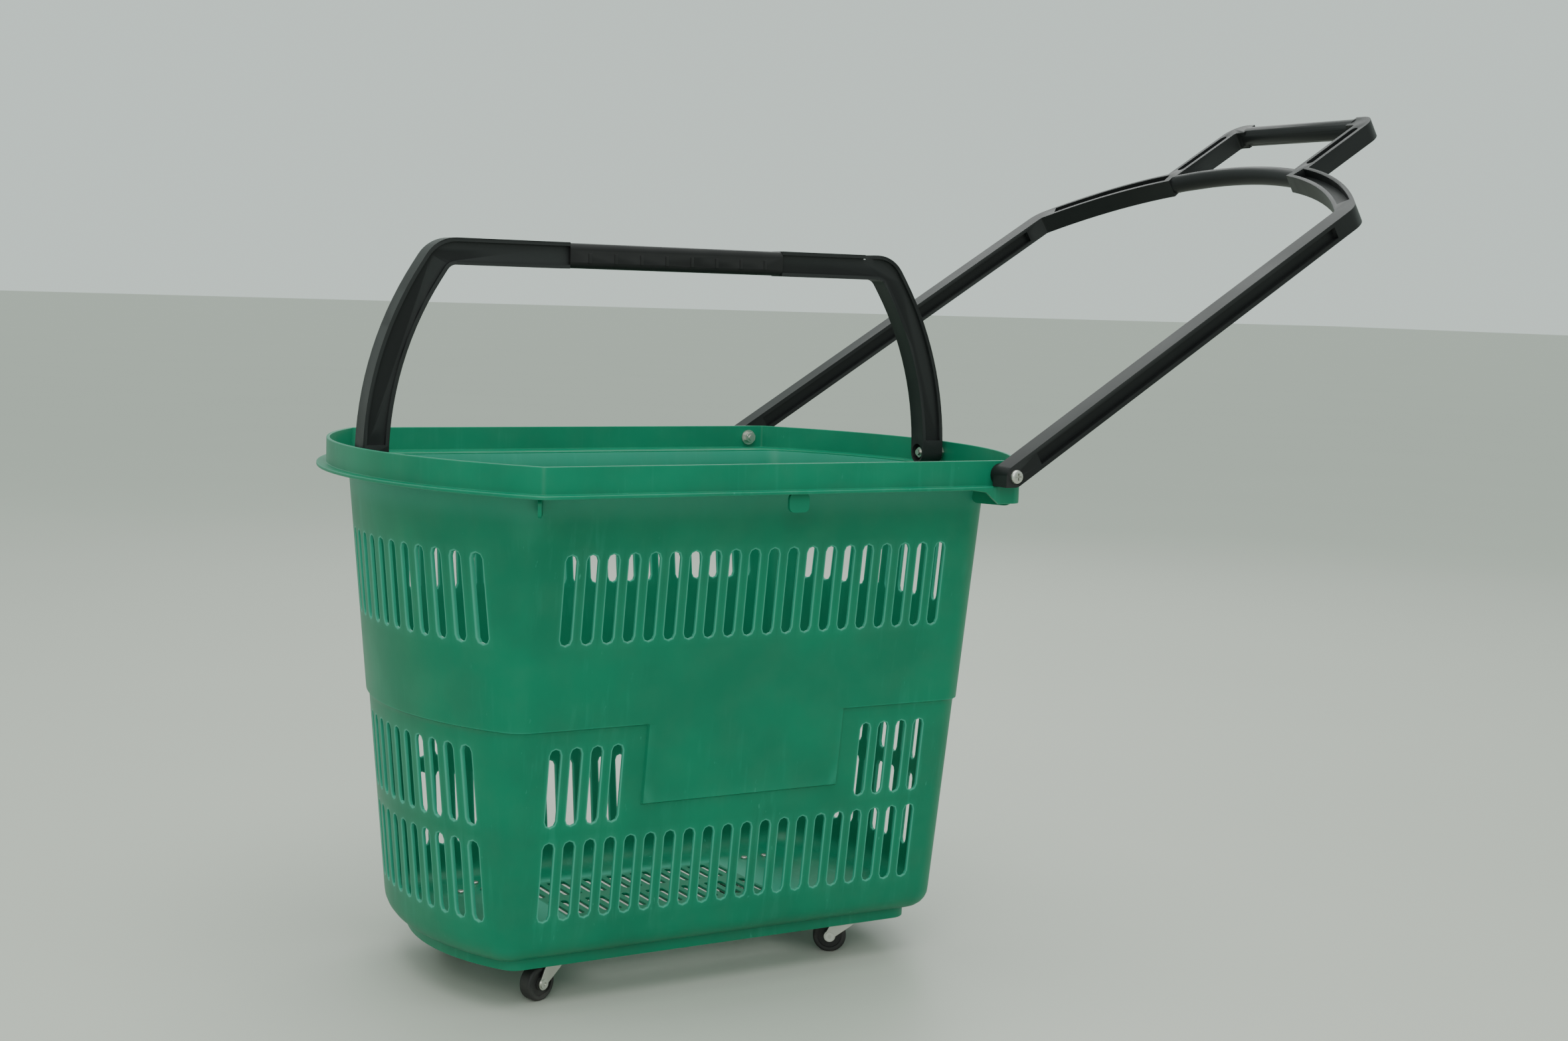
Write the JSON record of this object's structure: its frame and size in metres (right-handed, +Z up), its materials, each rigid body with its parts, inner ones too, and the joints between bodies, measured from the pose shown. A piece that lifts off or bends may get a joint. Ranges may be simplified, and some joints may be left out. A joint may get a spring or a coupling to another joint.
{
  "type": "rolling basket trolley",
  "caption": "Deep tapered green plastic basket with slotted walls on swivel casters, with a folding carrying bail and a long hinged pull handle with a hand loop",
  "frame": {"origin": "on the floor under the middle of the basket", "axes": "+X along the basket towards the pull handle, +Y across it, +Z up"},
  "size_m": [1.1222, 0.5274, 0.842],
  "materials": {
    "basket_plastic": "moulded green polypropylene, fine satin grain, stress-whitened slot edges",
    "handle_plastic": "black moulded polypropylene, slight sheen",
    "grip_plastic": "black moulded sleeve with raised marks",
    "zinc_steel": "bright zinc-plated pressed steel",
    "ball_steel": "hardened steel balls",
    "wheel_rubber": "solid black moulded wheel, matt",
    "bush_plastic": "plain nylon bush"
  },
  "bodies": {
    "basket": {"basket_body": "basket_plastic", "carry_pivot_studs": "zinc_steel", "carry_pivot_washers": "zinc_steel", "carry_pivot_nuts": "zinc_steel", "pull_pivot_bolts": "zinc_steel", "pull_pivot_washers": "zinc_steel", "pull_pivot_nuts": "zinc_steel", "caster_plate_rear_near": "zinc_steel", "caster_balls_rear_near": "ball_steel", "caster_king_pin_rear_near": "zinc_steel", "caster_screws_rear_near": "zinc_steel", "caster_nuts_rear_near": "zinc_steel", "caster_plate_rear_far": "zinc_steel", "caster_balls_rear_far": "ball_steel", "caster_king_pin_rear_far": "zinc_steel", "caster_screws_rear_far": "zinc_steel", "caster_nuts_rear_far": "zinc_steel", "caster_plate_front_near": "zinc_steel", "caster_balls_front_near": "ball_steel", "caster_king_pin_front_near": "zinc_steel", "caster_screws_front_near": "zinc_steel", "caster_nuts_front_near": "zinc_steel", "caster_plate_front_far": "zinc_steel", "caster_balls_front_far": "ball_steel", "caster_king_pin_front_far": "zinc_steel", "caster_screws_front_far": "zinc_steel", "caster_nuts_front_far": "zinc_steel"},
    "carry_bail": {"carry_handle": "handle_plastic", "carry_grip": "grip_plastic"},
    "pull_frame": {"pull_handle": "handle_plastic"},
    "fork_rear_near": {"caster_fork_rear_near": "zinc_steel", "caster_axle_rear_near": "zinc_steel"},
    "wheel_rear_near": {"caster_wheel_rear_near": "wheel_rubber", "caster_wheel_bush_rear_near": "bush_plastic"},
    "fork_rear_far": {"caster_fork_rear_far": "zinc_steel", "caster_axle_rear_far": "zinc_steel"},
    "wheel_rear_far": {"caster_wheel_rear_far": "wheel_rubber", "caster_wheel_bush_rear_far": "bush_plastic"},
    "fork_front_near": {"caster_fork_front_near": "zinc_steel", "caster_axle_front_near": "zinc_steel"},
    "wheel_front_near": {"caster_wheel_front_near": "wheel_rubber", "caster_wheel_bush_front_near": "bush_plastic"},
    "fork_front_far": {"caster_fork_front_far": "zinc_steel", "caster_axle_front_far": "zinc_steel"},
    "wheel_front_far": {"caster_wheel_front_far": "wheel_rubber", "caster_wheel_bush_front_far": "bush_plastic"}
  },
  "joints": [
    {"name": "carry_bail_hinge", "type": "hinge", "parent": "basket", "child": "carry_bail", "pos_m": [0, 0, 0.476], "axis": [1, 0, 0], "range_deg": [-90, 90]},
    {"name": "pull_handle_hinge", "type": "hinge", "parent": "basket", "child": "pull_frame", "pos_m": [0.216, 0, 0.475], "axis": [0, -1, 0], "range_deg": [0, 148.1]},
    {"name": "swivel_rear_near", "type": "hinge", "parent": "basket", "child": "fork_rear_near", "pos_m": [-0.157, -0.099, 0.0355], "axis": [0, 0, 1], "continuous": true},
    {"name": "wheel_spin_rear_near", "type": "hinge", "parent": "fork_rear_near", "child": "wheel_rear_near", "pos_m": [-0.1738, -0.10545, 0.016], "axis": [-0.3584, 0.9336, 0], "continuous": true},
    {"name": "swivel_rear_far", "type": "hinge", "parent": "basket", "child": "fork_rear_far", "pos_m": [-0.157, 0.099, 0.0355], "axis": [0, 0, 1], "continuous": true},
    {"name": "wheel_spin_rear_far", "type": "hinge", "parent": "fork_rear_far", "child": "wheel_rear_far", "pos_m": [-0.17344, 0.09168, 0.016], "axis": [-0.4067, 0.9135, 0], "continuous": true},
    {"name": "swivel_front_near", "type": "hinge", "parent": "basket", "child": "fork_front_near", "pos_m": [0.157, -0.099, 0.0355], "axis": [0, 0, 1], "continuous": true},
    {"name": "wheel_spin_front_near", "type": "hinge", "parent": "fork_front_near", "child": "wheel_front_near", "pos_m": [0.14157, -0.08973, 0.016], "axis": [0.515, 0.8572, 0], "continuous": true},
    {"name": "swivel_front_far", "type": "hinge", "parent": "basket", "child": "fork_front_far", "pos_m": [0.157, 0.099, 0.0355], "axis": [0, 0, 1], "continuous": true},
    {"name": "wheel_spin_front_far", "type": "hinge", "parent": "fork_front_far", "child": "wheel_front_far", "pos_m": [0.13917, 0.09649, 0.016], "axis": [-0.1392, 0.9903, 0], "continuous": true}
  ]
}
